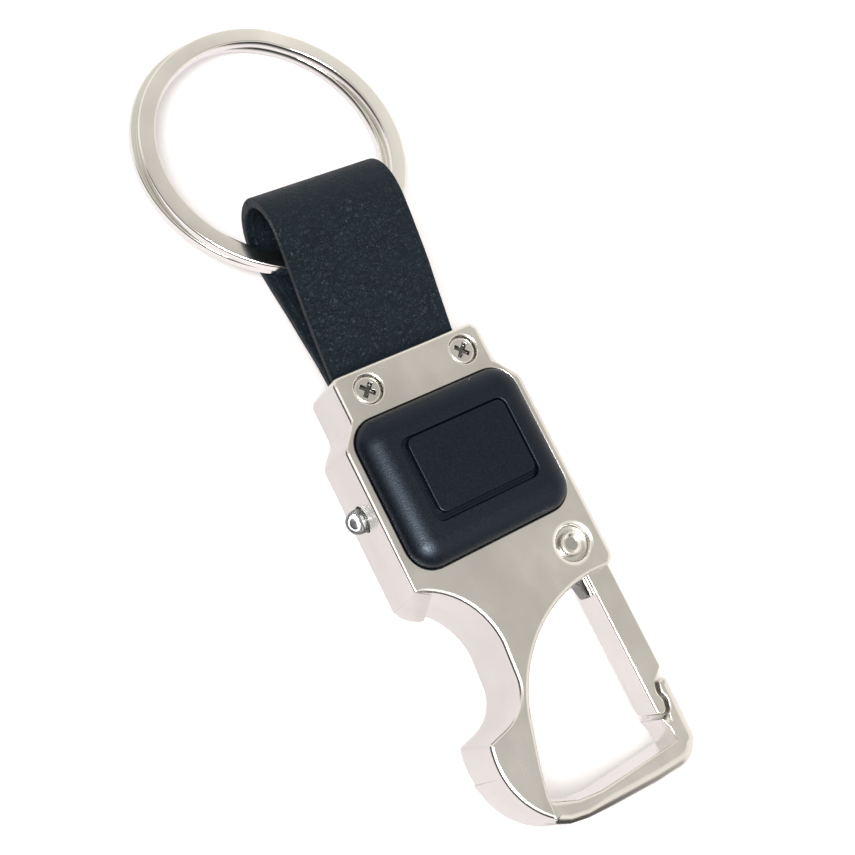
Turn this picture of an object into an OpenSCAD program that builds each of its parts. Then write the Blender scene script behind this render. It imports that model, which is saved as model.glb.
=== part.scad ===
// Keychain with torch: a cast case with a bottle opener and a snap hook,
// a leather strap with a split ring, and a push-button torch in its bay.
// The origin is on the flat back, under the centre of the torch bay.
// +X is the gate side, +Y points to the key ring, +Z out of the front face.

/* [Case] */
// Thickness of the casting
case_t = 9.5; // [9.2:0.1:12]
// Width over the torch bay
bay_w = 25; // [24:0.1:31]
// Width over the strap clamp
clamp_w = 20.5; // [19.6:0.1:23]
// From the bay's centre to the mouth of the clamp
clamp_reach = 15.4; // [15:0.1:20]
// Wall behind the torch
back_wall = 1.2; // [0.8:0.1:1.8]
// From the mouth to the start of the shoulders
clamp_len = 5.3; // [4:0.1:6]
// Length of the shoulders, where the clamp widens to the bay
shoulder_len = 3.4; // [2:0.1:4.5]
// Roundness of the clamp's corners
clamp_corner = 1.1; // [0.4:0.1:2]
// Roundness of the corner above the gate
bay_corner = 1.4; // [0.6:0.1:2]
// From the bay's centre to the casting's edge above the gate
bay_drop = 18.1; // [16.5:0.1:20]

/* [Bottle opener] */
// Radius of the opener's notch
opener_r = 10.1; // [8:0.1:11]
// From the left wall out to the notch's centre
opener_out = 3.2; // [1:0.1:5]
// From the bay's centre down to the notch's centre
opener_drop = 20.2; // [19.6:0.1:22]
// Length of the flank between the notch and the tooth
flank_len = 6.8; // [4:0.1:7.5]
// Outer radius of the jaw under the tooth
jaw_r = 10.1; // [9:0.1:11]
// From the left wall in to the jaw's centre
jaw_in = 9.6; // [9:0.1:11]
// From the bay's centre down to the jaw's centre
jaw_drop = 32.2; // [31:0.1:34]
// From the bay's centre down to the tip of the tooth
tooth_drop = 29.3; // [28.6:0.1:30.5]
// Length of the lip at the notch's mouth
lip_len = 3.6; // [1:0.1:4]
// How much the notch narrows from front to back
opener_draft = 0.6; // [0:0.1:1]
// How far the jaw's foot spreads from front to back
jaw_flare = 0.8; // [0.1:0.1:1.2]

/* [Snap hook] */
// From the bay's centre down to the inner edge of the bar
bar_drop = 40.35; // [39:0.1:48]
// Width of the bar below the gate
bar_w = 3; // [2:0.1:4]
// Width of the bar where it leaves the jaw
bar_root_w = 2; // [1.6:0.1:2.8]
// Thickness of the bar and nose
hook_t = 5.5; // [4.6:0.1:7.5]
// Radius of the loop's curved inner edge
loop_r = 16; // [14:0.1:17]
// From the right wall in to the centre of that curve
loop_in = 3.8; // [3:0.1:5]
// Roundness of the hook's outer corner
hook_corner = 3.2; // [1.5:0.1:4]
// Height of the ledge under the gate's tip
ledge_h = 3.15; // [2:0.05:4]

/* [Gate] */
// Width of the gate, seen from the front
gate_w = 3.35; // [2.8:0.05:4]
// Thickness of the gate, front to back
gate_t = 5; // [4:0.1:5.5]
// Diameter of the hinge pin
pin_d = 2; // [1.5:0.1:2.4]
// From the right wall in to the hinge pin
pin_in = 4.15; // [3.8:0.05:4.5]
// From the bay's centre down to the hinge pin
pin_drop = 13.9; // [13.6:0.1:15]
// Diameter of the gate's eye
eye_d = 5; // [4:0.1:5.2]
// Space between the gate and the slot
gate_gap = 0.15; // [0.1:0.01:0.3]
// Space between the gate's tongue and the nose
lock_gap = 0.4; // [0.25:0.01:0.5]
// Thickness of the gate's leaf spring
spring_t = 0.3; // [0.2:0.05:0.4]
// Width of the gate's leaf spring
spring_w = 1.8; // [1.2:0.1:2.4]

/* [Strap] */
// Width of the strap
strap_w = 17.2; // [14:0.1:17.8]
// Thickness of one leaf of leather
leaf_t = 1.25; // [0.9:0.05:1.5]
// Outer radius of the loop that holds the ring
strap_loop_r = 5.6; // [4.6:0.1:7]
// From the clamp's mouth to the end of the loop
strap_reach = 24.7; // [22:0.1:34]
// From the front face down to the middle of the strap
strap_depth = 4.5; // [4:0.1:5.5]
// Diameter of a screw's shank
screw_d = 2; // [1.6:0.1:2.2]
// Diameter of a screw's head
screw_head_d = 3.4; // [3:0.1:3.6]
// Distance between the two screws
screw_span = 13.4; // [11:0.1:14]
// From the clamp's mouth to the screws
screw_in = 2.7; // [2.5:0.05:2.9]
// How far the screws lie to the right of the middle
screw_aside = 0.3; // [0:0.1:0.6]

/* [Key ring] */
// Clear diameter inside the ring
ring_bore = 30; // [28:0.1:34]
// Width of the flat wire
ring_wire_w = 2.1; // [1.6:0.1:2.4]
// Thickness of one turn of the flat wire
ring_wire_t = 1.35; // [1:0.05:1.4]
// From the loop's centre back to the ring's near edge
ring_back = 5.1; // [4.5:0.1:5.2]
// How far the ring lies to the left of the middle
ring_aside = 0.8; // [0:0.1:1.5]

/* [Torch] */
// Width of the torch's cover
cover_w = 22.4; // [21.5:0.1:22.8]
// Height of the torch's cover
cover_h = 18.7; // [18:0.1:18.9]
// Corner radius of the cover
cover_r = 3.2; // [2:0.1:4]
// How far the cover stands out of the case
cover_rise = 2.2; // [1.6:0.1:3]
// Width of the push button
button_w = 14.4; // [11:0.1:14.8]
// Height of the push button
button_h = 10.1; // [9:0.1:11.6]
// How far the button lies to the right of the middle
button_aside = 0.3; // [0:0.1:1]
// How far the button lies above the middle
button_up = 0.25; // [0:0.05:0.5]
// Travel of the push button
button_travel = 0.5; // [0.3:0.05:0.55]
// Diameter of the lamp
led_d = 3; // [2.6:0.1:3.2]
// Diameter of a button cell
cell_d = 12.5; // [11:0.1:13]
// Thickness of a button cell
cell_t = 2; // [1.6:0.1:2]

/* [Hidden] */

$fn = 64;
// Steps of a corner and of a long curve on an outline
corner_steps = 6;
curve_steps = 20;
// Facets of round shapes inside a hull
hull_fn = 32;
// Overrun of cuts past the surfaces they open
over = 0.5;
// Clearance of a part that is seated for good
seat_gap = 0.1;
// Radial clearance of pins and screws in their holes
pin_gap = 0.05;
// Radial clearance of wide holes and of the wells round screw heads
well_gap = 0.15;

// Case
wall_x = bay_w / 2;
clamp_x = clamp_w / 2;
shoulder_top = clamp_reach - clamp_len;
shoulder_low = shoulder_top - shoulder_len;
pocket_w = cover_w + 2 * seat_gap;
pocket_h = cover_h + 2 * seat_gap;
pocket_r = cover_r + seat_gap;
nickel = [0.75, 0.73, 0.69];

// Bottle opener, with angles in degrees
notch = [-wall_x - opener_out, -opener_drop];
notch_start = acos(opener_out / opener_r);
jaw = [jaw_in - wall_x, -jaw_drop];
jaw_start = 180 - asin((jaw_drop - tooth_drop) / jaw_r);
jaw_end = 231;
// Where the spread of the jaw's foot starts, and where it ends at the back
flare_start = 185;
flare_end = 250;
tooth_tip = jaw + jaw_r * [cos(jaw_start), sin(jaw_start)];
flank_slope = 12;
flank_top = tooth_tip + flank_len * [cos(flank_slope), sin(flank_slope)];
flank_round = 0.51 * opener_r;
flank_mid = flank_top + flank_round * [-1, (1 - sin(flank_slope)) / cos(flank_slope)];
lip_at = [-wall_x, opener_r * sin(notch_start) - opener_drop];
// Outlines of the lip at the back and at the front, as shares of its length
lip_back_shares = [[0, 0.4], [0, -0.2], [0.1, -0.53], [0.36, -0.8], [0.64, -0.96],
                   [0.8, -1], [0.95, -0.83], [1.14, -0.66], [0.7, 0.1]];
lip_front_shares = [[0, 0.4], [0, 0], [0.28, -0.08], [0.57, -0.22], [0.7, 0.1]];

// Snap hook
hook_z = (case_t - hook_t) / 2;
loop_mid = [wall_x - loop_in, -bay_drop - loop_r];
loop_end = 162;
loop_knee = loop_mid + loop_r * [cos(loop_end), sin(loop_end)];
spine_foot = jaw + jaw_r * [cos(jaw_end), sin(jaw_end)];
// The spine's inner edge between the loop's curve and its foot
spine_shares = [[0.887, 0.766], [0.61, 0.47]];
nose_x = wall_x - gate_w;
bar_foot = -bar_drop - bar_w;
bar_span = nose_x - spine_foot[0];
// The bar's outer edge from the jaw, and its inner edge back from the nose
bar_out_shares = [[-0.01, -0.25], [0.033, 0.3], [0.12, 0.55], [0.25, 0.72], [0.45, 0.86], [0.8, 0.99]];
bar_in_shares = [[1.03, 0.9], [1.035, 0.05], [0.4, 0], [0.236, 0.24], [0.084, 0.93], [0, 1.4]];

// Gate
pin = [wall_x - pin_in, -pin_drop];
gate_z = (case_t - gate_t) / 2;
slot_z = gate_z - gate_gap;
slot_t = gate_t + 2 * gate_gap;
slot_gap = 2 * gate_gap;
eye_r = eye_d / 2;
root_drop = 1;
tongue_r = 0.74;
tongue_x = nose_x + tongue_r;
lock_x = nose_x + 2 * tongue_r;
lock_low = ledge_h + lock_gap + tongue_r - bar_drop;
lock_len = 2.3;
lock_high = lock_low + lock_len;
lock_swell = 0.14;
finger_r = (wall_x - lock_x - lock_gap) / 2;
finger = [wall_x - finger_r, lock_high];
pin_head_d = 3;
pin_head_t = 0.8;
pin_well_d = 4.2;
pin_well = 1.1;
pin_back_d = 2.8;
pin_back_t = 0.5;

// Gate's leaf spring, from the slot's left wall to its bend and up along the gate
spring_slot_shares = [[-1.2, -0.5], [-1.1, -1], [-0.12, -1.96]];
spring_end = [nose_x - spring_t / 2 - pin_gap, pin[1] - 1.6 * eye_r];
spring_bend = [spring_end[0] - spring_t, pin[1] - 2.55 * eye_r];
// How far the spring lies in front of the middle of the casting
spring_up = 0.75;
spring_z = case_t / 2 + spring_up - spring_w / 2;
slot_left = pin[0] - 1.2 * eye_r - spring_t / 2 - seat_gap;

// Strap
strap_t = 2 * leaf_t;
strap_z = case_t - strap_depth;
clamp_slot = clamp_len - seat_gap;
flex_gap = 0.3;
flex_y = clamp_reach + flex_gap + leaf_t;
loop_y = clamp_reach + strap_reach - strap_loop_r;
loop_z = strap_loop_r;
// Distance and slope from the strap's neck to its loop, and half the drop's angle
drop_len = norm([loop_y - flex_y, loop_z - strap_z]);
drop_slope = atan2(loop_z - strap_z, loop_y - flex_y);
drop_angle = asin((strap_loop_r - leaf_t) / drop_len);
screw_x = screw_span / 2;
screw_y = clamp_reach - screw_in;
screw_well_d = screw_head_d + 2 * well_gap;
screw_well = 1.3;
screw_head_t = 0.9;
screw_end = 1.4;
cross_w = 0.45;
cross_len = 2;
cross_deep = 0.5;

// Key ring, its far side on the surface that the back rests on
ring_r = ring_bore / 2;
ring_out = ring_r + ring_wire_w;
ring_edge = 0.22;
// How far each turn has slipped sideways from the middle of both
ring_slip = [-0.28, 0.32];
ring_pitch = -3.8;
ring_roll = 3.6;
ring_tilt = acos(cos(ring_pitch) * cos(ring_roll));
ring_y = loop_y - ring_back + ring_out;
ring_z = (ring_out + norm(ring_slip)) * sin(ring_tilt) + ring_wire_t * cos(ring_tilt);
ring_end_gap = 0.6;
ring_end_top = -97;
ring_end_low = -80;

// Torch
cover_sink = 2.3;
cover_z = case_t - cover_sink;
cover_top = case_t + cover_rise;
cover_wall = 0.9;
roof_t = 1;
roof_z = cover_top - roof_t;
// Inset and height of the cover's crown, as shares of its corner radius and its rise
crown_shares = [[0, 0], [0.08, 0.36], [0.31, 0.74], [0.57, 0.93], [0.8, 1]];
crown_slice = 0.05;
button_gap = 0.15;
button_r = 1;
button_sink = 0.05;
// Step at the button's left and lower edge, below its raised panel
button_step = 0.5;
button_rim = [0.75, 0.62];
flange_t = 0.45;
flange_w = 0.8;
button_z = roof_z - flange_t;
base_w = cover_w - 2 * seat_gap;
base_h = cover_h - 2 * seat_gap;
base_floor = 0.8;
floor_z = back_wall + base_floor;
cell_edge = 0.25;
contact_t = 0.2;
contact_w = 3;
contact_gap = 0.3;
contact_in = 0.35;
cell_z = floor_z + contact_t;
cells_top = cell_z + 2 * cell_t + pin_gap;
board_t = 0.8;
board_w = 17;
board_h = 13.4;
board_x = 1.2;
// The cells lie beside the lower contact, which stands under the board's right edge
cell_x = board_x + board_w / 2 - contact_in - contact_t - contact_gap - cell_d / 2;
board_z = cells_top + 2 * contact_t;
board_top = board_z + board_t;
post_d = 1.8;
switch_w = 4.5;
switch_skin = 0.4;
stem_rest = 0.4;
switch_top = button_z - button_travel - stem_rest;
stem_d = 2;
stem_foot_d = 2.8;
resistor_size = [2, 1.25, 0.55];
resistor_at = [6.4, 4];
led_y = -0.45;
led_z = case_t / 2;
led_r = led_d / 2;
led_out = 0.6;
led_tip = -wall_x - led_out;
led_flange_t = 0.95;
led_flange_w = 0.35;
led_flange_d = led_d + 2 * led_flange_w;
led_hole_d = led_d + 2 * well_gap;
led_back = cover_wall + led_flange_t - base_w / 2;
lead_t = 0.5;
lead_gap = 1.27;
lead_in = 2.6;
lead_out = 2.6;
cup_w = 1.1;
cup_len = 0.8;

function arc(mid, r, from, to, steps) =
    [for (i = [0:steps]) let (a = from + (to - from) * i / steps) mid + r * [cos(a), sin(a)]];

// An S-shaped step from one point to another that leaves both ends along Y
function ease(start, end) =
    [for (i = [0:corner_steps]) let (t = i / corner_steps)
        [start[0] + (end[0] - start[0]) * (1 - cos(180 * t)) / 2, start[1] + (end[1] - start[1]) * t]];

// Points set from a start, as shares of a step along X and along Y
function along(start, step, shares) =
    [for (s = shares) [start[0] + s[0] * step[0], start[1] + s[1] * step[1]]];

// The S-shaped edge where the gate's tongue meets the nose, moved aside
function lock_edge(aside) =
    [for (i = [0:corner_steps * 2]) let (t = i / corner_steps / 2)
        [lock_x + aside - lock_swell * sin(360 * t), lock_high - lock_len * t]];

module rounded(w, h, r, t) {
    translate([r - w / 2, -h / 2, 0]) cube([w - 2 * r, h, t]);
    translate([-w / 2, r - h / 2, 0]) cube([w, h - 2 * r, t]);
    for (x = [r - w / 2, w / 2 - r], y = [r - h / 2, h / 2 - r])
        translate([x, y, 0]) cylinder(r = r, h = t);
}

module block(size) {
    translate([-size[0] / 2, -size[1] / 2, 0]) cube(size);
}

// A strip of even thickness along a list of points
module strip(points, t) {
    last = len(points) - 1;
    turns = [for (i = [0:last])
        let (d = points[min(i + 1, last)] - points[max(i - 1, 0)]) [-d[1], d[0]] / norm(d)];
    polygon(concat(
        [for (i = [0:last]) points[i] + turns[i] * t / 2],
        [for (i = [last:-1:0]) points[i] - turns[i] * t / 2]));
}

module bay_outline() {
    polygon(concat(
        arc([clamp_x - clamp_corner, clamp_reach - clamp_corner], clamp_corner, 0, 90, corner_steps),
        arc([clamp_corner - clamp_x, clamp_reach - clamp_corner], clamp_corner, 90, 180, corner_steps),
        ease([-clamp_x, shoulder_top], [-wall_x, shoulder_low]),
        arc(jaw, jaw_r, jaw_start, jaw_end, curve_steps),
        along(loop_knee, spine_foot - loop_knee, spine_shares),
        arc(loop_mid, loop_r, loop_end, 90, curve_steps),
        arc([wall_x - bay_corner, bay_corner - bay_drop], bay_corner, -90, 0, corner_steps),
        ease([wall_x, shoulder_low], [clamp_x, shoulder_top])));
}

module hook_outline() {
    polygon(concat(
        along(spine_foot, [bar_span, bar_foot - spine_foot[1]], bar_out_shares),
        arc([wall_x - hook_corner, bar_foot + hook_corner], hook_corner, -90, 0, corner_steps),
        arc(finger, finger_r, 0, 180, corner_steps),
        lock_edge(lock_gap),
        arc([tongue_x, lock_low], tongue_r + lock_gap, 0, -90, corner_steps),
        [[nose_x, lock_low - tongue_r - lock_gap]],
        along([spine_foot[0], -bar_drop], [bar_span, bar_root_w], bar_in_shares)));
}

// The opener's notch narrows from front to back, towards the tooth's height
module opener_notch() {
    foot = [notch[0], tooth_tip[1]];
    back_share = (opener_r - opener_draft) / opener_r;
    translate(foot) linear_extrude(case_t, scale = 1 / back_share) scale(back_share) translate(-foot)
        polygon(concat(
            arc(notch, opener_r, 90, 0, curve_steps),
            arc(flank_mid, flank_round, 0, flank_slope - 90, 2 * corner_steps),
            [tooth_tip, 2 * tooth_tip - flank_top]));
}

// The jaw's foot spreads towards the back
module jaw_foot() {
    hull() {
        linear_extrude(crown_slice)
            polygon(arc(jaw - [0, jaw_flare], jaw_r, flare_start, flare_end, curve_steps));
        translate([0, 0, case_t - crown_slice]) linear_extrude(crown_slice)
            polygon(arc(jaw, jaw_r, flare_start, jaw_end, curve_steps));
    }
}

module lip() {
    hull() {
        translate(lip_at) linear_extrude(over) polygon(lip_len * lip_back_shares);
        translate([lip_at[0], lip_at[1], case_t - crown_slice])
            linear_extrude(crown_slice) polygon(lip_len * lip_front_shares);
    }
}

module screw_places() {
    for (side = [-1, 1]) translate([screw_aside + side * screw_x, screw_y, 0]) children();
}

// The gate's slot is open to the right and to the inside of the hook
module gate_slot() {
    translate([0, 0, slot_z]) {
        translate(pin) cylinder(r = eye_r + slot_gap, h = slot_t);
        linear_extrude(slot_t) polygon([
            [pin[0], pin[1] + eye_r + slot_gap],
            [pin[0] + eye_r / 2, pin[1] + eye_r + slot_gap],
            [wall_x + over, pin[1] + root_drop + slot_gap],
            [wall_x + over, -bay_drop - eye_d],
            [slot_left, -bay_drop - eye_d],
            [slot_left, pin[1] - eye_r / 2],
            [pin[0] - eye_r - slot_gap, pin[1]]]);
    }
}

module case() {
    color(nickel) difference() {
        union() {
            difference() {
                linear_extrude(case_t) bay_outline();
                opener_notch();
            }
            jaw_foot();
            translate([0, 0, hook_z]) linear_extrude(hook_t) hook_outline();
            lip();
        }
        translate([0, 0, back_wall]) rounded(pocket_w, pocket_h, pocket_r, case_t);
        translate([-strap_w / 2 - seat_gap, clamp_reach - clamp_slot, strap_z - leaf_t])
            cube([strap_w + 2 * seat_gap, clamp_slot + over, strap_t]);
        screw_places() {
            translate([0, 0, screw_end]) cylinder(r = screw_d / 2 + pin_gap, h = case_t);
            translate([0, 0, case_t - screw_well]) cylinder(d = screw_well_d, h = screw_well + over);
        }
        gate_slot();
        translate(pin) {
            translate([0, 0, -over]) cylinder(r = pin_d / 2 + pin_gap, h = case_t + 2 * over);
            translate([0, 0, case_t - pin_well]) cylinder(d = pin_well_d, h = pin_well + over);
            translate([0, 0, -over]) cylinder(r = pin_back_d / 2 + seat_gap, h = pin_back_t + over);
        }
        translate([-wall_x - over, led_y, led_z]) rotate([0, 90, 0])
            cylinder(d = led_hole_d, h = wall_x);
    }
}

module strap_tail() {
    color([0.13, 0.16, 0.2]) difference() {
        translate([-strap_w / 2, clamp_reach - clamp_slot + seat_gap, strap_z - leaf_t])
            cube([strap_w, clamp_slot - seat_gap, strap_t]);
        screw_places() translate([0, 0, -over])
            cylinder(r = screw_d / 2 + seat_gap, h = case_t + 2 * over);
    }
}

// Outline of the teardrop from its neck, or of its inside
module drop(inset) {
    tangent = 90 + drop_angle;
    polygon(concat(
        inset > 0 ? [[0, 0]] : arc([0, 0], leaf_t, tangent, 360 - tangent, 2 * corner_steps),
        arc([drop_len, 0], strap_loop_r - inset, -tangent, tangent, 2 * curve_steps)));
}

module strap() {
    color([0.13, 0.16, 0.2]) translate([-strap_w / 2, flex_y, strap_z])
        rotate([90, 0, 90]) linear_extrude(strap_w) rotate(drop_slope) difference() {
            drop(0);
            drop(leaf_t);
        }
}

module strap_screws() {
    color(nickel) screw_places() difference() {
        union() {
            translate([0, 0, screw_end + seat_gap])
                cylinder(d = screw_d, h = case_t - screw_well - screw_end - seat_gap);
            translate([0, 0, case_t - screw_well]) cylinder(d = screw_head_d, h = screw_head_t);
        }
        for (turn = [45, 135]) translate([0, 0, case_t - screw_well + screw_head_t - cross_deep])
            rotate(turn) block([cross_len, cross_w, cross_deep + over]);
    }
}

// One turn of flat wire, slipped aside, with the cut between its ends
module ring_turn(slip, cut_at) {
    flat = ring_wire_t - ring_edge;
    translate([slip[0], slip[1], 0]) difference() {
        rotate_extrude($fn = 96) polygon([
            [ring_r + ring_edge, 0], [ring_out - ring_edge, 0], [ring_out, ring_edge], [ring_out, flat],
            [ring_out - ring_edge, ring_wire_t], [ring_r + ring_edge, ring_wire_t],
            [ring_r, flat], [ring_r, ring_edge]]);
        rotate(cut_at) translate([ring_r - over, 0, -over])
            cube([ring_wire_w + 2 * over, ring_end_gap, ring_wire_t + 2 * over]);
    }
}

module key_ring() {
    color([0.8, 0.79, 0.77]) translate([-ring_aside, ring_y, ring_z])
        rotate([ring_pitch, ring_roll, 0]) {
            ring_turn(-ring_slip, ring_end_top);
            translate([0, 0, -ring_wire_t]) ring_turn(ring_slip, ring_end_low);
        }
}

module gate() {
    color([0.74, 0.73, 0.71]) translate([0, 0, gate_z]) difference() {
        union() {
            translate(pin) cylinder(r = eye_r, h = gate_t);
            linear_extrude(gate_t) polygon(concat(
                [[nose_x, pin[1] - eye_r / 2], pin, [pin[0], pin[1] + eye_r],
                 [pin[0] + eye_r / 2, pin[1] + eye_r * sin(60)], [wall_x, pin[1] + root_drop],
                 [wall_x, finger[1] + finger_r + 3 * lock_gap]],
                arc(finger, finger_r + lock_gap, 105, 180, corner_steps),
                lock_edge(0),
                arc([tongue_x, lock_low], tongue_r, 0, -180, 2 * corner_steps)));
        }
        translate([pin[0], pin[1], -over]) cylinder(r = pin_d / 2 + pin_gap, h = gate_t + 2 * over);
    }
}

module gate_pin() {
    color(nickel) translate(pin) {
        cylinder(d = pin_back_d, h = pin_back_t);
        cylinder(d = pin_d, h = case_t - pin_well);
        translate([0, 0, case_t - pin_well]) cylinder(d = pin_head_d, h = pin_head_t);
    }
}

module gate_spring() {
    color([0.6, 0.6, 0.6]) translate([0, 0, spring_z]) linear_extrude(spring_w) strip(concat(
        [for (p = spring_slot_shares) pin + p * eye_r],
        arc(spring_bend, spring_t, 200, 360, 2 * corner_steps),
        [spring_end]), spring_t);
}

module torch_cover() {
    color([0.13, 0.14, 0.17]) difference() {
        union() {
            translate([0, 0, cover_z]) rounded(cover_w, cover_h, cover_r, case_t - cover_z);
            hull() for (s = crown_shares, x = [-1, 1], y = [-1, 1])
                translate([x * (cover_w / 2 - cover_r), y * (cover_h / 2 - cover_r),
                           case_t + s[1] * cover_rise - crown_slice])
                    cylinder(r = cover_r * (1 - s[0]), h = crown_slice, $fn = hull_fn);
        }
        translate([0, 0, cover_z - over])
            rounded(cover_w - 2 * cover_wall, cover_h - 2 * cover_wall, cover_r - cover_wall,
                    case_t - cover_z);
        translate([button_aside, button_up, cover_z]) {
            block([button_w + 4 * flange_w, button_h + 3 * flange_w, roof_z - cover_z]);
            rounded(button_w + 2 * button_gap, button_h + 2 * button_gap, button_r + button_gap, cover_top);
        }
    }
}

module torch_button() {
    top = cover_top - button_sink - button_z;
    color([0.11, 0.12, 0.15]) translate([button_aside, button_up, button_z]) {
        rounded(button_w, button_h, button_r, top - button_step);
        translate(button_rim / 2)
            rounded(button_w - button_rim[0], button_h - button_rim[1], button_r, top);
        block([button_w + 2 * flange_w, button_h + 2 * flange_w, flange_t]);
    }
}

module torch_base() {
    color([0.2, 0.2, 0.22]) {
        difference() {
            translate([0, 0, back_wall]) rounded(base_w, base_h, cover_r, cover_z - back_wall);
            translate([0, 0, floor_z])
                rounded(base_w - 2 * cover_wall, base_h - 2 * cover_wall, cover_r - cover_wall, case_t);
            translate([-wall_x, led_y, led_z]) rotate([0, 90, 0]) cylinder(d = led_hole_d, h = wall_x / 2);
        }
        for (x = [-1, 1], y = [-1, 1])
            translate([board_x + x * (board_w - post_d) / 2, y * (board_h - post_d) / 2, floor_z])
                cylinder(d = post_d, h = board_z - floor_z);
    }
}

module circuit_board() {
    color([0.1, 0.35, 0.2]) translate([board_x, 0, board_z]) block([board_w, board_h, board_t]);
}

module switch_housing() {
    inside = switch_w - 2 * switch_skin;
    color([0.15, 0.15, 0.15]) translate([button_aside, button_up, board_top]) difference() {
        block([switch_w, switch_w, switch_top - board_top]);
        translate([0, 0, switch_skin]) block([inside, inside, switch_top - board_top - 2 * switch_skin]);
        cylinder(d = stem_d + 2 * seat_gap, h = switch_top);
    }
}

module switch_stem() {
    color([0.85, 0.85, 0.82])
        translate([button_aside, button_up, switch_top - switch_skin - pin_gap - switch_skin]) {
        cylinder(d = stem_foot_d, h = switch_skin);
        cylinder(d = stem_d, h = button_z - switch_top + 2 * switch_skin + pin_gap);
    }
}

module resistor() {
    color([0.1, 0.1, 0.1]) translate([resistor_at[0], resistor_at[1], board_top]) block(resistor_size);
}

// The lamp's two legs: each runs out of the lamp and up to the board
module leads(grow) {
    w = lead_t + 2 * grow;
    start = led_back - lead_in - grow;
    for (side = [-1, 1]) translate([start, led_y + side * lead_gap / 2 - w / 2, led_z - w / 2])
        cube([lead_in + lead_out + grow, w, w]);
    translate([led_back - lead_in - cup_len, led_y - cup_w / 2 - grow, led_z - cup_w / 2 - grow])
        cube([cup_len + grow, lead_gap / 2 + lead_t / 2 + 2 * grow, cup_w + 2 * grow]);
}

module led_lens() {
    color([0.85, 0.9, 0.95, 0.5]) difference() {
        union() {
            translate([led_tip, led_y, led_z]) {
                sphere(r = led_r);
                rotate([0, 90, 0]) cylinder(r = led_r, h = led_back - led_tip);
            }
            translate([led_back - led_flange_t, led_y, led_z]) rotate([0, 90, 0])
                cylinder(d = led_flange_d, h = led_flange_t);
        }
        leads(pin_gap);
    }
}

module led_leads() {
    color([0.8, 0.8, 0.78]) {
        leads(0);
        for (side = [-1, 1])
            translate([led_back + lead_out - lead_t, led_y + side * lead_gap / 2 - lead_t / 2, led_z])
                cube([lead_t, lead_t, board_z - led_z]);
    }
}

module button_cells() {
    color([0.8, 0.8, 0.8]) for (i = [0, 1]) translate([cell_x, 0, cell_z + i * (cell_t + pin_gap)]) {
        cylinder(d = cell_d, h = cell_t - cell_edge);
        cylinder(d = cell_d - 4 * cell_edge, h = cell_t);
    }
}

module contact_positive() {
    color([0.85, 0.75, 0.45]) translate([cell_x, 0, cells_top]) {
        block([cell_d / 2, contact_w, contact_t]);
        block([contact_w / 2, contact_w, 2 * contact_t]);
    }
}

module contact_negative() {
    reach = cell_d / 2 + contact_gap;
    color([0.85, 0.75, 0.45]) translate([cell_x, -contact_w / 2, floor_z]) {
        cube([reach + contact_t, contact_w, contact_t]);
        translate([reach, 0, 0]) cube([contact_t, contact_w, board_z - floor_z]);
    }
}

case();
strap_tail();
strap();
strap_screws();
key_ring();
gate();
gate_pin();
gate_spring();
torch_cover();
torch_button();
torch_base();
circuit_board();
switch_housing();
switch_stem();
resistor();
led_lens();
led_leads();
button_cells();
contact_positive();
contact_negative();
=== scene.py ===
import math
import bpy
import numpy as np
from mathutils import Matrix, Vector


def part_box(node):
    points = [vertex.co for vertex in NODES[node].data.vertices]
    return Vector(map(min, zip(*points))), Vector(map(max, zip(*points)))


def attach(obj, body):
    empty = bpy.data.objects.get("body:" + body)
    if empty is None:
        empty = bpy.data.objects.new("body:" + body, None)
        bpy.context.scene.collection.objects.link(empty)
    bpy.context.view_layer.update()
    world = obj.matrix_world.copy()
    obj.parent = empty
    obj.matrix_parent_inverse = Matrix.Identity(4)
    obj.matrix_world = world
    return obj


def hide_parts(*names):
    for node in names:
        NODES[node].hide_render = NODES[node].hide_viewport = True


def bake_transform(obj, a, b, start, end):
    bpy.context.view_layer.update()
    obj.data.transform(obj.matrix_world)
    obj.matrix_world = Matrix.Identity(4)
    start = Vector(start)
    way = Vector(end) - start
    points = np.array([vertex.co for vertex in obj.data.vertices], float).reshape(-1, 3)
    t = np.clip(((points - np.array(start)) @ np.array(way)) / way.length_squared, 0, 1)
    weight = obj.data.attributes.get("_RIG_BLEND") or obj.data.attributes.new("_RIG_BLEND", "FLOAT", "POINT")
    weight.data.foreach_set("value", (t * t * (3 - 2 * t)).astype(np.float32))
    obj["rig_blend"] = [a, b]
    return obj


bl_info = {
    "name": "Keychain with torch",
    "version": (1, 0, 0),
    "blender": (4, 5, 0),
    "location": "3D View > Sidebar > Keychain",
    "description": "Builds a keychain with a cast case, a leather strap, a split ring and a torch",
    "category": "Add Mesh",
}

import bmesh
import bpy
from bpy.props import FloatProperty, FloatVectorProperty, PointerProperty
from mathutils import Matrix, Vector

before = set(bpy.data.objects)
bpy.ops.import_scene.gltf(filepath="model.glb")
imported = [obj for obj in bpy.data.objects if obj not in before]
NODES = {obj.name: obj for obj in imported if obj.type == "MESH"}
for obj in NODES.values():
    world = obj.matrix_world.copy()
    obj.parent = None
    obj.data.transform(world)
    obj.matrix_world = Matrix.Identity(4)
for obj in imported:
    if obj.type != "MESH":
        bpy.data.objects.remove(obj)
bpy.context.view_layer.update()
MM = 0.001

# Points closer than this are one point
SAME_POINT = 1e-6

# The push button's left, front, right and rear, and the space round it, in millimetres
BUTTON = (-6.9, -4.8, 7.5, 5.3)
BUTTON_GAP = 0.15

# The clamp's mouth, and the height at which the strap's two leaves meet, in millimetres
MOUTH_Y = 15.4
STRAP_Z = 5

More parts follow.
